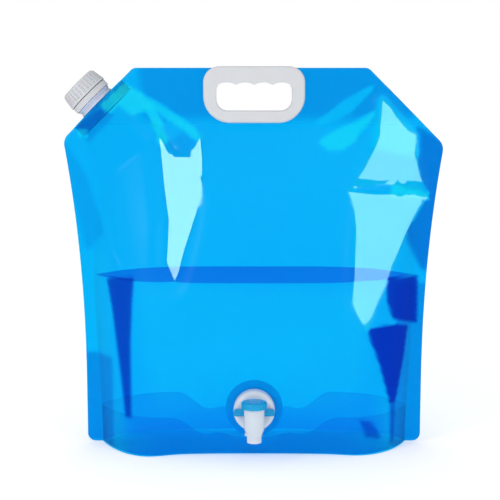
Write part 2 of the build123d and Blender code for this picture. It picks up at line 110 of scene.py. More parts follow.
# ---------------------------------------------------------------- this script's own sizes
SKIN = 0.4                  # thickness of the visible film
SKIN_GAP = 0.05             # between the two films where they are welded
GRID = 3.2                  # spacing of the film mesh
GRID_CLEAR = 0.55 * GRID    # its points stay this far from edges and creases
CREASE_ANGLE = 12           # degrees; the front film is creased where it bends more
CHANNEL_BLEND = 3.0         # the channel and the body run into each other over this depth
SEAL_FROM = 4.0             # the creases along the side seals start at this height
SEAL_STEPS = 80
FLARE_STOP = 8.0            # the flared side ends this far below the shoulder's corner
FLARE_STEPS = 24
TAUT_EDGE = 1.5             # the taut flats' sharp gloss fades out over this
GUSSET_INSET = 0.9          # the gusset lies this far inside the panels
GUSSET_LOW = 2.5            # lower end of its turned-up rim
GUSSET_FLOOR = ((0.985, 0.9), (0.955, 0.5), (0.6, 0.5), (0.25, 0.5))    # share of the rim's size, height
WATER_INSET = 1.6
WATER_SIDE = 1.0            # extra room between the water and the side seals
WATER_LOW = 1.6
WATER_LEVEL = 171.0
COIL_STEPS = 264            # rings along the spring's wire
WIRE_SIDES = 8


def smoothstep(t):
    t = min(1.0, max(0.0, t))
    return t * t * (3 - 2 * t)


def body_bulge(x, z):
    """Half depth of the filled bag; 0 in the seals."""
    depth = MID_DEPTH - (MID_DEPTH - BASE_DEPTH) * max(0.0, 1 - z / DEPTH_Z) ** 2
    half = CAVITY_FOOT + CAVITY_FLARE * (max(z, 0.0) / (DEPTH_Z + CLOSE_SPAN)) ** CAVITY_POWER
    power = SIDE_POWER + FOOT_SQUARE * math.exp(-max(z, 0.0) / FOOT_FADE)
    closing = max(0.0, (z - DEPTH_Z) / CLOSE_SPAN) ** CLOSE_POWER
    return max(0.0, depth * (1 - (abs(x) / half) ** power - closing))


def seal_loop(low, steps):
    """The line along which the panels' welds meet the bag's hollow, from this height up."""
    top = DEPTH_Z + CLOSE_SPAN
    half = []
    for i in range(steps):
        z = low + (top - low) * i / steps
        wide = CAVITY_FOOT + CAVITY_FLARE * (z / top) ** CAVITY_POWER
        power = SIDE_POWER + FOOT_SQUARE * math.exp(-z / FOOT_FADE)
        closing = max(0.0, (z - DEPTH_Z) / CLOSE_SPAN) ** CLOSE_POWER
        half.append((wide * (1 - closing) ** (1 / power), z))
    return half + [(-x, z) for x, z in reversed(half)]


def channel_bulge(x, z):
    """The film's passage round the spout's boat and into the body."""
    along = ((x - SPOUT_X) + (z - SPOUT_Z)) / math.sqrt(2)
    inward = ((x - SPOUT_X) - (z - SPOUT_Z)) / math.sqrt(2)
    run = max(0.0, inward - CHANNEL_START) / CHANNEL_SPAN
    wide = along / (1 + CHANNEL_WIDEN * run)
    tip = math.sqrt(BOAT_ARC**2 - (BOAT_ARC - BOAT_THICK) ** 2)
    if abs(wide) >= tip or run >= 1:
        return 0.0
    boat = math.sqrt(BOAT_ARC**2 - wide**2) - (BOAT_ARC - BOAT_THICK) + BOAT_GAP
    return boat * (1 - smoothstep(run))


def soft_max(a, b, blend):
    """The greater of two depths, rounded off where both are well above 0 and near each other."""
    return (a + b + math.hypot(a - b, min(blend, 2 * min(a, b)))) / 2


# ---------------------------------------------------------------- folds of the front film
# A facet is a flat of the film between creases: its outline, then the depth at a point in
# it and how the depth grows along X and Z, then how far its pull reaches past its edge.
FACETS = {
    "left_long": dict(
        outline=[(-99, 323), (-94, 311), (-91, 299), (-89, 280), (-86, 253), (-82, 228), (-83, 205),
                 (-84, 189), (-76, 172), (-72, 181), (-70, 190), (-66, 204), (-61, 219), (-55, 238),
                 (-51, 251), (-50, 270), (-50, 288), (-52, 307), (-57, 298), (-64, 292), (-70, 290),
                 (-75, 293), (-82, 301), (-90, 313)],
        point=(-51, 251), depth=29.5, slope=(0.34, -0.26), reach=20.0),
    "right_upper": dict(
        outline=[(124, 342), (131, 336), (137, 327), (144, 319), (150, 312), (157, 308), (157, 297),
                 (158, 284), (162, 268), (169, 251), (146, 258), (134, 262), (120, 264), (106, 263),
                 (96, 259), (91, 257), (100, 269), (106, 278), (111, 287), (117, 298), (121, 308)],
        point=(91, 257), depth=30.0, slope=(-0.35, -0.12), reach=12.0),
    "right_lower": dict(
        outline=[(91, 256), (104, 254), (120, 252), (140, 252), (156, 250), (169, 248), (161, 239),
                 (154, 227), (146, 212), (138, 194), (131, 180), (126, 167), (118, 151), (113, 139),
                 (108, 124), (100, 139), (94, 153), (96, 175), (97, 197), (98, 220), (96, 243)],
        point=(95, 197), depth=38.0, slope=(-0.36, -0.20), reach=16.0),
}
# Ridges: start, end, width at both, height at the end, which is RIDGE_START of it at the start.
RIDGE_START = 0.35
RIDGES = [
    ((-118, 350), (-72, 301), 6.0, 12.5, 4.0),
    ((96, 258), (143, 257), 2.5, 5.5, 3.0),
    ((-167, 268), (-131, 181), 2.0, 3.5, 1.6),
    ((-131, 181), (-114, 184), 2.5, 3.5, 1.6),
]
# The front corners of the foot stand forward in two rounded lobes: x, how far, width.
LOBES = [(-106, 9.0, 24.0), (104, 5.0, 22.0)]
LOBE_RISE = 34.0            # they fade out with this height ...
LOBE_DEPTH = 30.0           # ... and towards the seals, where the film is less deep than this
# Painted shade and painted light on the film: it is made deeper where shade is painted in pleats, folds,
# crumples and along the welds, and paler where highlights and light are painted on flats, hollows and fold
# edges: outline, change of tone, softness of its edge.
PAINTED_SHADE_AND_LIGHT = [
    # painted shade: the dark pleats that hang from the water line on both sides, and the seams below them
    ([(-142, 170), (-117, 173), (-119, 150), (-121, 110), (-121, 38), (-124, 38), (-128, 77), (-136, 140)],
     0.85, 3.0),
    ([(129, 172), (160, 168), (160, 124), (150, 128), (136, 134), (130, 150)], 0.95, 3.0),
    ([(109, 125), (128, 126), (150, 122), (146, 90), (138, 50), (134, 50), (122, 92)], 1.0, 2.5),
    ([(134, 54), (138, 54), (137, 9), (135, 9)], 0.6, 2.0),
    # painted highlights: pale hollows to the right of the handle
    ([(63, 303), (78, 312), (98, 320), (117, 331), (108, 318), (97, 303), (84, 295), (72, 295)],
     -0.9, 2.0),
    ([(63, 320), (88, 340), (113, 354), (92, 332)], -0.40, 4.0),
    # the welds at the sides and the top: doubled film, with painted shade deepest at the right shoulder
    # and low down, and a paler painted band in the middle of the left weld
    ([(-186, 300), (-167, 268), (-150, 215), (-163, 200), (-172, 240)], 0.12, 6.0),
    ([(-167, 190), (-143, 190), (-141, 95), (-166, 95)], -0.10, 6.0),
    ([(-166, 92), (-141, 92), (-141, 5), (-166, 5)], 0.28, 4.0),
    ([(141, 160), (170, 160), (167, 5), (141, 5)], 0.28, 5.0),
    ([(160, 312), (185, 299), (180, 240), (168, 180), (150, 214), (171, 248), (164, 268)], 0.45, 8.0),
    ([(-105, 374), (110, 374), (150, 332), (-100, 332)], 0.22, 14.0),
    # round the spout: painted shade in a deep fold below the edge, painted highlights on the flats beside
    # it
    ([(-133, 342), (-169, 317), (-161, 306), (-140, 326)], 0.22, 6.0),
    ([(-147, 337), (-125, 359), (-118, 353), (-138, 331)], -1.0, 1.6),
    ([(-133, 342), (-119, 354), (-103, 334), (-118, 330)], -0.9, 3.0),
    ([(-171, 313), (-163, 313), (-163, 308), (-171, 308)], -0.7, 2.0),
    # painted highlights on both edges of the tongue-shaped fold that runs from the spout, and painted
    # shade at its deeper tip
    ([(-119, 353), (-90, 337), (-60, 317), (-51, 308), (-56, 305), (-66, 312), (-92, 331)], -0.9, 1.6),
    ([(-120, 352), (-108, 339), (-101, 325), (-94, 311), (-91, 299), (-84, 301), (-87, 313), (-92, 325),
      (-101, 339), (-112, 351)], -1.0, 1.0),
    ([(-82, 300), (-66, 311), (-57, 304), (-62, 296), (-72, 292)], 0.12, 4.0),
    # painted light: the middle, below the water line, is paler
    ([(-100, 160), (100, 150), (85, 60), (-85, 60)], -0.20, 25.0),
    # painted shade: a crumple at the right of the gusset
    ([(104, 35), (113, 32), (122, 17), (110, 20)], 0.5, 3.0),
    # the flats at the right, which mirror the right softbox, with painted highlights on top: palest at the
    # tip and to the right of the gap between them
    (FACETS["right_upper"]["outline"], -0.4, 0.5),
    ([(124, 342), (144, 319), (157, 308), (157, 292), (118, 300)], -0.5, 8.0),
    (FACETS["right_lower"]["outline"], -0.6, 0.5),
    ([(132, 262), (168, 253), (170, 247), (134, 250)], -1.0, 1.0),
]


def span(outline):
    """The outline's least and greatest X and Z."""
    xs, zs = zip(*outline)
    return min(xs), max(xs), min(zs), max(zs)


SPANS = {id(o): span(o) for o in [f["outline"] for f in FACETS.values()] + [t[0] for t in PAINTED_SHADE_AND_LIGHT]}


def near(x, z, outline, reach):
    """Is the point within reach of the outline's box?"""
    low_x, high_x, low_z, high_z = SPANS[id(outline)]
    return low_x - reach < x < high_x + reach and low_z - reach < z < high_z + reach


def edge_distance(x, z, outline):
    """Distance to an outline, 0 inside it."""
    best = 1e9
    inside = False
    for (ax, az), (bx, bz) in zip(outline, outline[1:] + outline[:1]):
        if (az > z) != (bz > z) and x < (bx - ax) * (z - az) / (bz - az) + ax:
            inside = not inside
        length = (bx - ax) ** 2 + (bz - az) ** 2
        t = min(1.0, max(0.0, ((x - ax) * (bx - ax) + (z - az) * (bz - az)) / length))
        best = min(best, math.hypot(x - ax - t * (bx - ax), z - az - t * (bz - az)))
    return 0.0 if inside else best


def facet_depth(facet, x, z):
    """Depth of a facet's plane."""
    (px, pz), (sx, sz) = facet["point"], facet["slope"]
    return facet["depth"] + sx * (x - px) + sz * (z - pz)


def fold_ridge(x, z, start, end, width_start, width_end, height):
    """A rounded ridge from start to end that grows wider and ends in a rounded tip."""
    dx, dz = end[0] - start[0], end[1] - start[1]
    length = math.hypot(dx, dz)
    along = ((x - start[0]) * dx + (z - start[1]) * dz) / length
    t = min(1.0, max(0.0, along / length))
    off = math.hypot(x - start[0] - t * dx, z - start[1] - t * dz)
    width = width_start + (width_end - width_start) * t
    if off >= width:
        return 0.0
    return height * (RIDGE_START + (1 - RIDGE_START) * t) * math.sqrt(1 - (off / width) ** 2)


def back_depth(x, z):
    """Depth of the back film behind the middle plane."""
    return soft_max(body_bulge(x, z), channel_bulge(x, z), CHANNEL_BLEND)


def front_depth(x, z):
    """Depth of the front film in front of the middle plane, folds and all."""
    depth = back_depth(x, z)
    for facet in FACETS.values():
        reach = facet["reach"]
        away = edge_distance(x, z, facet["outline"]) if near(x, z, facet["outline"], reach) else reach
        if away < reach:
            pull = (1 - away / reach) ** 2
            depth += (facet_depth(facet, x, z) - depth) * pull
    depth = max(0.0, depth)
    for ridge in RIDGES:
        depth += fold_ridge(x, z, *ridge)
    for at, far, width in LOBES:
        lobe = math.exp(-((x - at) / width) ** 2 - (z / LOBE_RISE) ** 2)
        depth += far * lobe * min(1.0, depth / LOBE_DEPTH)
    from_tap = math.hypot(x, z - TAP_Z)
    level = 1 - smoothstep((from_tap - TAP_FLAT_R) / (TAP_BLEND_R - TAP_FLAT_R))
    return depth + (TAP_FACE - depth) * level


def film_painted_shade_and_light(x, z):
    """Painted shade (up to 1, deeper) or painted light (down to -1, paler) on the film here."""
    painted_shade_light = 0.0
    for outline, change, soft in PAINTED_SHADE_AND_LIGHT:
        away = edge_distance(x, z, outline) if near(x, z, outline, soft) else soft
        if away < soft:
            painted_shade_light += change * (1 - smoothstep(away / soft))
    return max(-1.0, min(1.0, painted_shade_light))


def film_taut(x, z):
    """1 on the taut flats, which mirror sharply; 0 elsewhere."""
    outlines = [f["outline"] for f in FACETS.values() if near(x, z, f["outline"], TAUT_EDGE)]
    return max([0.0] + [1 - edge_distance(x, z, o) / TAUT_EDGE for o in outlines])


# ---------------------------------------------------------------- film mesh
def arc_points(centre, radius, start, end, steps):
    """Points of an arc, its ends in degrees."""
    return [(centre[0] + radius * math.cos(math.radians(start + (end - start) * i / steps)),
             centre[1] + radius * math.sin(math.radians(start + (end - start) * i / steps)))
            for i in range(steps + 1)]


def mirrored_loop(half):
    """A closed loop from its right half."""
    return half + [(-x, z) for x, z in reversed(half) if x > 1e-6]


def side_x(z):
    """Half width of the film above the start of the flare."""
    flare = ((z - FLARE_Z) / (SHOULDER_Z - FLARE_Z)) ** FLARE_POWER
    return FOOT_HALF + (SHOULDER_HALF - FOOT_HALF) * flare


def rounded_corner(before, corner, after, radius, steps):
    """Points of a corner rounded to a radius."""
    corner = Vector(corner)
    to_before = (Vector(before) - corner).normalized()
    to_after = (Vector(after) - corner).normalized()
    half_angle = to_before.angle(to_after) / 2
    setback = radius / math.tan(half_angle)
    centre = corner + (to_before + to_after).normalized() * (radius / math.sin(half_angle))
    first = corner + to_before * setback - centre
    last = corner + to_after * setback - centre
    return [tuple(centre + first.slerp(last, i / steps) * radius) for i in range(steps + 1)]


def side_outline(shoulder_z):
    """The film's right half from the foot to the top edge, its corner cut off at 45 degrees."""
    rise = shoulder_z - FLARE_STOP - FLARE_Z
    heights = [FLARE_Z + rise * i / FLARE_STEPS for i in range(FLARE_STEPS + 1)]
    flare = [(side_x(z), z) for z in heights]
    shoulder = (side_x(shoulder_z), shoulder_z)
    top = (shoulder[0] + shoulder_z - BAG_TOP, BAG_TOP)
    foot_centre = (FOOT_HALF - FOOT_ROUND, FOOT_LIFT + FOOT_ROUND)
    half = FOOT_ARCH + arc_points(foot_centre, FOOT_ROUND, -90, 0, 6) + flare
    half += rounded_corner(flare[-1], shoulder, top, SHOULDER_ROUND, 6)
    return half + rounded_corner(shoulder, top, (0, BAG_TOP), TOP_ROUND, 5)


def film_outline():
    """The whole outline; the two shoulders are at different heights."""
    left = [(-x, z) for x, z in reversed(side_outline(SHOULDER_Z)) if x > 0]
    return side_outline(RIGHT_SHOULDER_Z) + left


def grip_slot():
    """The slot for the handle's rim."""
    low = arc_points((SLOT_HALF - SLOT_LOW_ROUND, SLOT_LOW + SLOT_LOW_ROUND), SLOT_LOW_ROUND, -90, 0, 6)
    high_centre = (SLOT_HALF - SLOT_HIGH_ROUND, SLOT_HIGH - SLOT_HIGH_ROUND)
    high = arc_points(high_centre, SLOT_HIGH_ROUND, 0, 90, 5)
    return mirrored_loop(low + high)


def resample(loop, spacing):
    """A closed loop's corners, and points at this spacing between them."""
    points = []
    for (ax, az), (bx, bz) in zip(loop, loop[1:] + loop[:1]):
        steps = max(1, round(math.hypot(bx - ax, bz - az) / spacing))
        points += [(ax + (bx - ax) * i / steps, az + (bz - az) * i / steps) for i in range(steps)]
    return points


def grid_points(outline, holes, lines):
    """Points of a triangular grid inside the outline, clear of the holes and lines."""
    taken = {}
    for x, z in lines:
        taken.setdefault((round(x / GRID), round(z / GRID)), []).append((x, z))
    around = [(di, dj) for di in (-1, 0, 1) for dj in (-1, 0, 1)]
    low_x, high_x, _, high_z = span(outline)
    points = []
    for row in range(int(high_z / (GRID * math.sqrt(3) / 2)) + 1):
        z = row * GRID * math.sqrt(3) / 2
        x = low_x + GRID * (0.5 + row % 2 / 2)
        while x < high_x:
            i, j = round(x / GRID), round(z / GRID)
            close_by = [p for di, dj in around for p in taken.get((i + di, j + dj), [])]
            clear = all(math.hypot(p[0] - x, p[1] - z) > GRID_CLEAR for p in close_by)
            if clear and not edge_distance(x, z, outline) and all(edge_distance(x, z, h) for h in holes):
                points.append((x, z))
            x += GRID
    return points


def sheet_mesh(name, outline, holes, creases, depth_at, facing):
    """A sheet in X and Z with crisp edges along the creases, pushed out along Y by depth_at."""
    points, edges = [], []
    for loop in [outline] + holes + creases:
        line = resample(loop, GRID)
        first, count = len(points), len(line)
        points += line
        edges += [(first + i, first + (i + 1) % count) for i in range(count)]
    on_lines = len(points)
    points += grid_points(outline, holes, points)
    verts, _, faces, origin, _, _ = delaunay_2d_cdt([Vector(p) for p in points], edges, [], 0, 1e-4)
    kept = []
    for face in faces:
        inner = any(o >= on_lines for v in face for o in origin[v])
        if not inner:
            x = sum(verts[v].x for v in face) / 3
            z = sum(verts[v].y for v in face) / 3
            inner = not edge_distance(x, z, outline) and all(edge_distance(x, z, h) for h in holes)
        if inner:
            kept.append(face if facing < 0 else tuple(reversed(face)))
    mesh = bpy.data.meshes.new(name)
    lift = SKIN / 2 + SKIN_GAP
    places = [(v.x * MM, facing * (depth_at(v.x, v.y) + lift) * MM, v.y * MM) for v in verts]
    mesh.from_pydata(places, [], kept)
    return new_object(name, mesh)


def new_object(name, mesh):
    """Adds a mesh to the scene, smooth and without loose points."""
    bm = bmesh.new()
    bm.from_mesh(mesh)
    bmesh.ops.delete(bm, geom=[v for v in bm.verts if not v.link_faces], context="VERTS")
    bm.to_mesh(mesh)
    bm.free()
    mesh.shade_smooth()
    obj = bpy.data.objects.new(name, mesh)
    scene.collection.objects.link(obj)
    return obj


def paint(obj, name, value_at):
    """Stores a number per point, from the point's X and Z in millimetres."""
    layer = obj.data.attributes.new(name, "FLOAT", "POINT")
    for vert, item in zip(obj.data.vertices, layer.data):
        item.value = value_at(vert.co.x / MM, vert.co.z / MM)


def mark_sharp(obj, degrees):
    """Edges bent more than this are creases."""
    bm = bmesh.new()
    bm.from_mesh(obj.data)
    for edge in bm.edges:
        if len(edge.link_faces) == 2:
            edge.smooth = edge.calc_face_angle() < math.radians(degrees)
    bm.to_mesh(obj.data)
    bm.free()


def finish_film(obj, node_name):
    """Gives a sheet its thickness and material, and lets it stand for a CAD node."""
    solid = obj.modifiers.new("film thickness", "SOLIDIFY")
    solid.thickness = SKIN * MM
    solid.offset = 0
    obj.data.materials.append(film_material())
    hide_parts(node_name)
    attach(obj, "root")


def film_pieces():
    """The front film with its folds, and the back film."""
    outline = film_outline()
    slot = grip_slot()
    tap_hole = arc_points((0, TAP_Z), FILM_HOLE_R, 0, 350, 35)
    seal = seal_loop(SEAL_FROM, SEAL_STEPS)
    creases = [seal] + [f["outline"] for f in FACETS.values()]
    front = sheet_mesh("front_film", outline, [slot, tap_hole], creases, front_depth, -1)
    mark_sharp(front, CREASE_ANGLE)
    # painted shade and painted light, stored per point
    paint(front, "painted_shade_light", film_painted_shade_and_light)
    paint(front, "taut", film_taut)
    back = sheet_mesh("back_film", outline, [slot], [seal], back_depth, 1)
    finish_film(front, "front_panel")
    finish_film(back, "back_panel")


# ---------------------------------------------------------------- gusset and water
def ring_x(z):
    """Half width of the cavity at a height, where the films are a millimetre from the middle."""
    x = SHOULDER_HALF
    while x > 0 and body_bulge(x, z) < 1.0:
        x -= 0.5
    return x


def rim_height(x):
    """Top of the gusset's weld: 39 at the sides, 21 in the middle, with a low bump on the way."""
    a = abs(x)
    return 21 + 18 * smoothstep((a - 45) / 34) + 3 * math.exp(-((a - 33) / 9) ** 2)


def gusset_painted_light(x, z):
    """Painted light: the gusset is tinted paler than the panels, most of all in the corners."""
    return -0.4 - 0.6 * smoothstep((abs(x) - 118) / 20)


def ring(bm, half_at, z_at, across, inset):
    """One loop of points round the cavity, just inside both films."""
    loop = []
    for side in (-1, 1):
        for i in range(across):
            swing = side * (1 - 2 * i / across)
            u = math.sin(swing * math.pi / 2)
            z = z_at(u)
            x = u * half_at(z)
            depth = (front_depth(x, z) if side < 0 else back_depth(x, z)) - inset
            loop.append(bm.verts.new((x * MM, side * max(depth, 0.05) * MM, z * MM)))
    return loop


def skin_loops(bm, loops):
    """Faces between each loop of points and the next."""
    count = len(loops[0])
    for a, b in zip(loops, loops[1:]):
        for i in range(count):
            bm.faces.new((a[i], a[(i + 1) % count], b[(i + 1) % count], b[i]))


def closed_mesh(bm, name):
    """A mesh from bm, joined up and with its faces turned outwards."""
    bmesh.ops.remove_doubles(bm, verts=bm.verts, dist=1e-5)
    bmesh.ops.recalc_face_normals(bm, faces=bm.faces)
    mesh = bpy.data.meshes.new(name)
    bm.to_mesh(mesh)
    bm.free()
    return mesh


def gusset_piece():
    """The floor film and its turned-up rim, one sheet just inside the panels."""
    bm = bmesh.new()
    across, up = 96, 10
    wide = ring_x(GUSSET_LOW)
    loops = []
    for k in range(up + 1):
        def height(u, k=k):
            return GUSSET_LOW + (rim_height(u * wide) - GUSSET_LOW) * k / up
        loops.append(ring(bm, ring_x, height, across, GUSSET_INSET))
    skin_loops(bm, loops)
    floor = [loops[0]]
    for shrink, z in GUSSET_FLOOR:
        floor.append([bm.verts.new((v.co.x * shrink, v.co.y * shrink, z * MM)) for v in loops[0]])
    skin_loops(bm, floor)
    bm.faces.new(floor[-1])
    obj = new_object("gusset_film", closed_mesh(bm, "gusset_film"))
    # painted light on the gusset, stored per point
    paint(obj, "painted_shade_light", gusset_painted_light)
    finish_film(obj, "bottom_gusset")


def water_x(z):
    """Half width of the water at a height."""
    return ring_x(z) - WATER_SIDE


def water_piece():
    """The water that half fills the bag: a closed body with a level top."""
    bm = bmesh.new()
    across, up = 120, 60
    loops = []
    for k in range(up + 1):
        z = WATER_LOW + (WATER_LEVEL - WATER_LOW) * k / up
        loops.append(ring(bm, water_x, lambda u, z=z: z, across, WATER_INSET))
    skin_loops(bm, loops)
    bm.faces.new(loops[0])
    bm.faces.new(loops[-1]).material_index = 1
    obj = new_object("water", closed_mesh(bm, "water"))
    for face in obj.data.polygons:
        face.use_smooth = face.material_index == 0
    obj.data.materials.append(water_material("water_body", (0.90, 0.965, 1.0), (0.95, 0.99, 1.0), 1.12))
    # painted shade: the level top is tinted deep blue to stand for the dark band at the water line
    obj.data.materials.append(water_material("water_top_painted_band", (0.04, 0.40, 0.88), (0.06, 0.47, 0.92), 1.04))
    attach(obj, "root")


# ---------------------------------------------------------------- spring
def spring_piece():
    """The tap's return spring, a coil of wire at one fixed length."""
    low, high = SPRING_LOW + SPRING_WIRE, SPRING_HIGH - SPRING_WIRE
    bm = bmesh.new()
    rings = []
    for i in range(COIL_STEPS + 1):
        turn = 2 * math.pi * SPRING_TURNS * i / COIL_STEPS
        z = low + (high - low) * i / COIL_STEPS
        ring_points = []
        for k in range(WIRE_SIDES):
            swing = 2 * math.pi * k / WIRE_SIDES
            r = SPRING_MEAN + SPRING_WIRE * math.cos(swing)
            place = (r * math.cos(turn), BARREL_Y + r * math.sin(turn), z + SPRING_WIRE * math.sin(swing))
            ring_points.append(bm.verts.new([c * MM for c in place]))
        rings.append(ring_points)
    skin_loops(bm, rings)
    for end in (rings[0], rings[-1]):
        bm.faces.new(end)
    obj = new_object("coil_spring", closed_mesh(bm, "coil_spring"))
    steel = plastic("steel_wire", (0.55, 0.55, 0.56), (0.68, 0.68, 0.69), 0.3, 900.0, 0.1, metallic=1.0)
    obj.data.materials.append(steel)
    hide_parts("return_spring")
    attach(obj, "root")
    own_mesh(obj)


# ---------------------------------------------------------------- materials
MIRROR_MOST = 0.12          # a thin sheet never mirrors more of the light than this
MILK = 0.08                 # share of the light that the film scatters
BUMP = 0.001                # height of the film's and the water's bumps, in metres
CLEAR_BOUNCES = 32          # see-through surfaces that a ray may pass


def new_material(name):
    """A new node material, its node tree and its output node."""
    material = bpy.data.materials.new(name)
    material.use_nodes = True
    tree = material.node_tree
    tree.nodes.clear()
    return material, tree, tree.nodes.new("ShaderNodeOutputMaterial")


def node(tree, kind, **inputs):
    """A node with some of its inputs set; an underscore stands for a space in an input's name."""
    made = tree.nodes.new(kind)
    for name, value in inputs.items():
        made.inputs[name.replace("_", " ")].default_value = value
    return made


def noise_node(tree, scale, detail):
    """Noise that is fixed to the object."""
    place = tree.nodes.new("ShaderNodeTexCoord")
    made = node(tree, "ShaderNodeTexNoise", Scale=scale, Detail=detail)
    tree.links.new(place.outputs["Object"], made.inputs["Vector"])
    return made


def between(tree, factor, low, high):
    """A colour between two by a factor; each colour is a socket or three numbers."""
    made = tree.nodes.new("ShaderNodeMix")
    made.data_type = "RGBA"
    for socket, value in zip(("A", "B"), (low, high)):
        if isinstance(value, tuple):
            made.inputs[socket].default_value = (*value, 1)
        else:
            tree.links.new(value, made.inputs[socket])
    tree.links.new(factor, made.inputs["Factor"])
    return made.outputs["Result"]


def spread(tree, source, low, high, from_low=0.0, from_high=1.0):
    """Maps a socket's value from one range to another, clamped."""
    made = tree.nodes.new("ShaderNodeMapRange")
    ends = {"From Min": from_low, "From Max": from_high, "To Min": low, "To Max": high}
    for name, value in ends.items():
        made.inputs[name].default_value = value
    tree.links.new(source, made.inputs["Value"])
    return made.outputs["Result"]


def attribute(tree, name):
    """The number that paint() stored on the mesh."""
    made = tree.nodes.new("ShaderNodeAttribute")
    made.attribute_name = name
    return made.outputs["Fac"]


def with_painted_shade_and_light(tree, drift, low, high, deep, pale):
    """The film's own drifting colour, pulled to a deep one where shade is painted or a pale one where
    light is painted.
    """
    painted_shade_light = attribute(tree, "painted_shade_light")
    own = between(tree, drift, low, high)
    darker = between(tree, spread(tree, painted_shade_light, 0.0, 1.0), own, deep)
    return between(tree, spread(tree, painted_shade_light, 0.0, 1.0, 0.0, -1.0), darker, pale)


def maths(tree, kind, first, second):
    """A Math node; each input is a socket or a number."""
    made = tree.nodes.new("ShaderNodeMath")
    made.operation = kind
    for socket, value in zip(made.inputs, (first, second)):
        if isinstance(value, float):
            socket.default_value = value
        else:
            tree.links.new(value, socket)
    return made.outputs[0]


def thin_fresnel(tree, index):
    """How much a thin sheet mirrors, alike from both of its sides; index is a socket or a number."""
    behind = tree.nodes.new("ShaderNodeNewGeometry").outputs["Backfacing"]
    flip = maths(tree, "SUBTRACT", 1.0, maths(tree, "MULTIPLY", behind, 2.0))
    made = tree.nodes.new("ShaderNodeFresnel")
    tree.links.new(maths(tree, "POWER", index, flip), made.inputs["IOR"])
    return maths(tree, "MINIMUM", made.outputs[0], MIRROR_MOST)


def film_material():
    """Blue film: tinted see-through, a little milky, with a gloss that is sharpest on the flats; shade and
    light are painted into its colours.
    """
    if "clear_blue_film" in bpy.data.materials:
        return bpy.data.materials["clear_blue_film"]
    material, tree, out = new_material("clear_blue_film")
    link = tree.links.new
    broad = noise_node(tree, 9.0, 3.0).outputs["Fac"]
    fine = noise_node(tree, 60.0, 4.0).outputs["Fac"]
    bump = node(tree, "ShaderNodeBump", Strength=0.05, Distance=BUMP)
    link(fine, bump.inputs["Height"])
    clear = node(tree, "ShaderNodeBsdfTransparent")
    # see-through colour, with painted shade (deep) and painted light (pale)
    tint = with_painted_shade_and_light(tree, broad, (0.10, 0.835, 0.99), (0.14, 0.87, 1.0), (0.0, 0.25, 0.74), (0.35, 1.0, 1.0))
    link(tint, clear.inputs["Color"])
    milk = node(tree, "ShaderNodeBsdfDiffuse")
    glow = node(tree, "ShaderNodeBsdfTranslucent")
    # milky colour, with the same painted shade and painted light
    cloud = with_painted_shade_and_light(tree, broad, (0.0, 0.38, 0.98), (0.0, 0.46, 1.0), (0.0, 0.05, 0.60), (0.05, 0.80, 1.0))
    for shader in (milk, glow):
        link(cloud, shader.inputs["Color"])
    link(bump.outputs["Normal"], milk.inputs["Normal"])
    lit = node(tree, "ShaderNodeMixShader", Fac=0.5)
    link(milk.outputs[0], lit.inputs[1])
    link(glow.outputs[0], lit.inputs[2])
    sheet = node(tree, "ShaderNodeMixShader", Fac=MILK)
    link(clear.outputs[0], sheet.inputs[1])
    link(lit.outputs[0], sheet.inputs[2])
    gloss = node(tree, "ShaderNodeBsdfAnisotropic")
    link(spread(tree, attribute(tree, "taut"), 0.36, 0.06), gloss.inputs["Roughness"])
    link(bump.outputs["Normal"], gloss.inputs["Normal"])
    whole = tree.nodes.new("ShaderNodeMixShader")
    link(thin_fresnel(tree, spread(tree, attribute(tree, "taut"), 1.17, 1.60)), whole.inputs["Fac"])
    link(sheet.outputs[0], whole.inputs[1])
    link(gloss.outputs[0], whole.inputs[2])
    link(whole.outputs[0], out.inputs["Surface"])
    return material


def water_material(name, low, high, ior):
    """Clear water with a faint tint; a low index, because the film hides most of its gloss."""
    material, tree, out = new_material(name)
    link = tree.links.new
    clear = node(tree, "ShaderNodeBsdfTransparent")
    link(between(tree, noise_node(tree, 14.0, 2.0).outputs["Fac"], low, high), clear.inputs["Color"])
    bump = node(tree, "ShaderNodeBump", Strength=0.03, Distance=BUMP)
    link(noise_node(tree, 40.0, 2.0).outputs["Fac"], bump.inputs["Height"])
    gloss = node(tree, "ShaderNodeBsdfAnisotropic", Roughness=0.03)
    link(bump.outputs["Normal"], gloss.inputs["Normal"])
    whole = tree.nodes.new("ShaderNodeMixShader")
    link(thin_fresnel(tree, ior), whole.inputs["Fac"])
    link(clear.outputs[0], whole.inputs[1])
    link(gloss.outputs[0], whole.inputs[2])
    link(whole.outputs[0], out.inputs["Surface"])
    return material


def plastic(name, low, high, roughness, grain, bump_height, soft=0.0, metallic=0.0):
    """Moulded plastic or wire: slight colour drift, uneven gloss and a fine grain."""
    material, tree, out = new_material(name)
    link = tree.links.new
    broad = noise_node(tree, 30.0, 3.0).outputs["Fac"]
    fine = noise_node(tree, grain, 3.0).outputs["Fac"]
    shader = tree.nodes.new("ShaderNodeBsdfPrincipled")
    shader.inputs["Metallic"].default_value = metallic
    shader.inputs["Subsurface Weight"].default_value = soft
    shader.inputs["Subsurface Scale"].default_value = 0.004
    link(between(tree, broad, low, high), shader.inputs["Base Color"])
    link(spread(tree, fine, roughness - 0.06, roughness + 0.06), shader.inputs["Roughness"])
    bump = node(tree, "ShaderNodeBump", Strength=bump_height, Distance=0.0004)
    link(fine, bump.inputs["Height"])
    link(bump.outputs["Normal"], shader.inputs["Normal"])
    link(shader.outputs[0], out.inputs["Surface"])
    return material


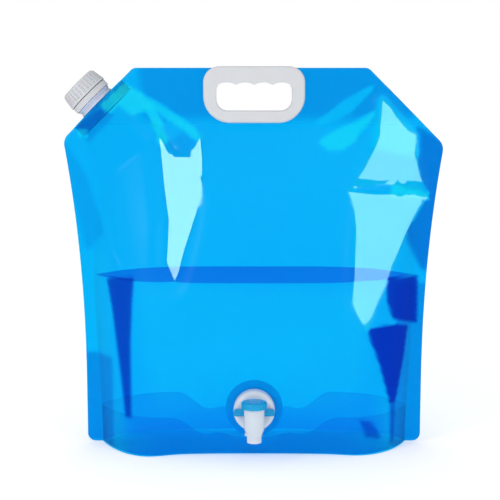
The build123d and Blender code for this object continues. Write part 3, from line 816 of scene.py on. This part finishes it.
def dress_nodes():
    """Gives every CAD node that stays its own moulded material."""
    cap = plastic("cap_white", (0.60, 0.61, 0.64), (0.67, 0.68, 0.71), 0.38, 700.0, 0.03, 0.15)
    neck = plastic("neck_white", (0.50, 0.56, 0.72), (0.60, 0.66, 0.80), 0.30, 500.0, 0.03, 0.25)
    grip = plastic("handle_grey", (0.67, 0.68, 0.70), (0.73, 0.74, 0.76), 0.42, 900.0, 0.05, 0.1)
    tap = plastic("tap_white", (0.66, 0.72, 0.80), (0.76, 0.81, 0.87), 0.25, 500.0, 0.06, 0.15)
    flange = plastic("flange_blue", (0.20, 0.55, 0.90), (0.28, 0.62, 0.95), 0.35, 500.0, 0.06)
    blue = plastic("button_blue", (0.0, 0.33, 0.68), (0.003, 0.42, 0.78), 0.28, 600.0, 0.06)
    rubber = plastic("rubber_grey", (0.55, 0.57, 0.60), (0.64, 0.66, 0.68), 0.6, 1200.0, 0.3)
    dress = {
        "screw_cap": cap, "tamper_ring": cap, "cap_liner": rubber, "spout_fitment": neck,
        "handle_front": grip, "handle_back": grip, "tap_flange": flange, "tap_nut": tap, "tap_body": tap,
        "valve_stem": tap, "push_button": blue, "finger_wings": blue, "tap_gasket": rubber,
        "tap_tail_seal": rubber, "piston_o_ring": rubber, "valve_seal": rubber,
    }
    for name, material in dress.items():
        obj = frame["nodes"][name]
        obj.data.materials.clear()
        obj.data.materials.append(material)


# ---------------------------------------------------------------- stage, light and camera
TARGET = Vector((-4.0, 0.0, 195.5)) * MM
CAMERA_FAR = 1300.0 * MM
CAMERA_UP = math.radians(8.5)
VIEW_WIDTH = 493.0 * MM     # what the camera takes in at the target
CAMERA_AT = TARGET + CAMERA_FAR * Vector((0, -math.cos(CAMERA_UP), math.sin(CAMERA_UP)))
SOFTBOX_FAR = 1.2           # metres from the facet that a softbox lights
SOFTBOX_SIZE = (0.32, 0.42)
LEFT_RADIANCE = 7.5
RIGHT_RADIANCE = 4.0
SKY_LOW, SKY_HIGH = 0.36, 1.02      # strength of the even light at the horizon and overhead
SKY_MIRRORED = 0.08         # what the film mirrors of it
FLOOR_HALF = 6.0
FLOOR_WHITE = 0.90
FLOOR_GLOW = 0.30


def camera():
    """A level view of the front, from a little above."""
    data = bpy.data.cameras.new("camera")
    data.sensor_fit = "HORIZONTAL"
    data.angle = 2 * math.atan(VIEW_WIDTH / 2 / CAMERA_FAR)
    obj = bpy.data.objects.new("camera", data)
    scene.collection.objects.link(obj)
    obj.location = CAMERA_AT
    obj.rotation_euler = (TARGET - CAMERA_AT).to_track_quat("-Z", "Y").to_euler()
    scene.camera = obj


def softbox(name, at, towards, size, radiance):
    """A rectangular light; its power follows from its size and radiance."""
    data = bpy.data.lights.new(name, "AREA")
    data.shape = "RECTANGLE"
    data.size, data.size_y = size
    data.energy = radiance * math.pi * size[0] * size[1]
    obj = bpy.data.objects.new(name, data)
    scene.collection.objects.link(obj)
    obj.location = at
    obj.rotation_euler = (Vector(towards) - Vector(at)).to_track_quat("-Z", "Y").to_euler()


def facet_light(name, facet, centre, radiance):
    """A softbox that the facet mirrors towards the camera."""
    sx, sz = facet["slope"]
    normal = Vector((-sx, -1, -sz)).normalized()
    point = Vector((centre[0], -facet_depth(facet, *centre), centre[1])) * MM
    to_camera = (CAMERA_AT - point).normalized()
    mirrored = 2 * normal.dot(to_camera) * normal - to_camera
    softbox(name, point + mirrored * SOFTBOX_FAR, point, SOFTBOX_SIZE, radiance)


def lights():
    facet_light("left_light", FACETS["left_long"], (-72, 250), LEFT_RADIANCE)
    facet_light("right_light", FACETS["right_lower"], (120, 235), RIGHT_RADIANCE)


def background(tree, strength, colour):
    made = node(tree, "ShaderNodeBackground", Strength=strength)
    made.inputs["Color"].default_value = (*colour, 1)
    return made.outputs[0]


def world():
    """White behind the object, an even light on it, and little for the film to mirror."""
    data = bpy.data.worlds.new("studio")
    scene.world = data
    data.use_nodes = True
    tree = data.node_tree
    tree.nodes.clear()
    out = tree.nodes.new("ShaderNodeOutputWorld")
    rays = tree.nodes.new("ShaderNodeLightPath")
    shown = background(tree, 1.0, (0.97, 0.985, 1))
    place = tree.nodes.new("ShaderNodeTexCoord")
    height = tree.nodes.new("ShaderNodeSeparateXYZ")
    tree.links.new(place.outputs["Generated"], height.inputs[0])
    tree.links.new(spread(tree, height.outputs["Z"], SKY_LOW, SKY_HIGH), shown.node.inputs["Strength"])
    for kind, other in (("Is Glossy Ray", background(tree, SKY_MIRRORED, (0.8, 0.9, 1))),
                        ("Is Camera Ray", background(tree, 1.0, (1, 1, 1)))):
        mix = tree.nodes.new("ShaderNodeMixShader")
        tree.links.new(rays.outputs[kind], mix.inputs["Fac"])
        tree.links.new(shown, mix.inputs[1])
        tree.links.new(other, mix.inputs[2])
        shown = mix.outputs[0]
    tree.links.new(shown, out.inputs["Surface"])


def stage():
    """A white floor that fades into the white behind it; its own faint glow keeps shadows soft."""
    mesh = bpy.data.meshes.new("floor")
    corners = [(sx * FLOOR_HALF, sy * FLOOR_HALF, 0) for sx, sy in ((-1, -1), (1, -1), (1, 1), (-1, 1))]
    mesh.from_pydata(corners, [], [(0, 1, 2, 3)])
    floor = bpy.data.objects.new("floor", mesh)
    scene.collection.objects.link(floor)
    material, tree, out = new_material("floor_white")
    matt = node(tree, "ShaderNodeBsdfDiffuse", Color=(FLOOR_WHITE, FLOOR_WHITE, FLOOR_WHITE, 1))
    glow = node(tree, "ShaderNodeEmission", Color=(1, 1, 1, 1), Strength=FLOOR_GLOW)
    both = tree.nodes.new("ShaderNodeAddShader")
    tree.links.new(matt.outputs[0], both.inputs[0])
    tree.links.new(glow.outputs[0], both.inputs[1])
    tree.links.new(both.outputs[0], out.inputs["Surface"])
    mesh.materials.append(material)
    floor.visible_glossy = False


camera()
world()
lights()
stage()
film_pieces()
gusset_piece()
water_piece()
spring_piece()
dress_nodes()
scene.view_settings.view_transform = "Standard"
scene.cycles.transparent_max_bounces = CLEAR_BOUNCES
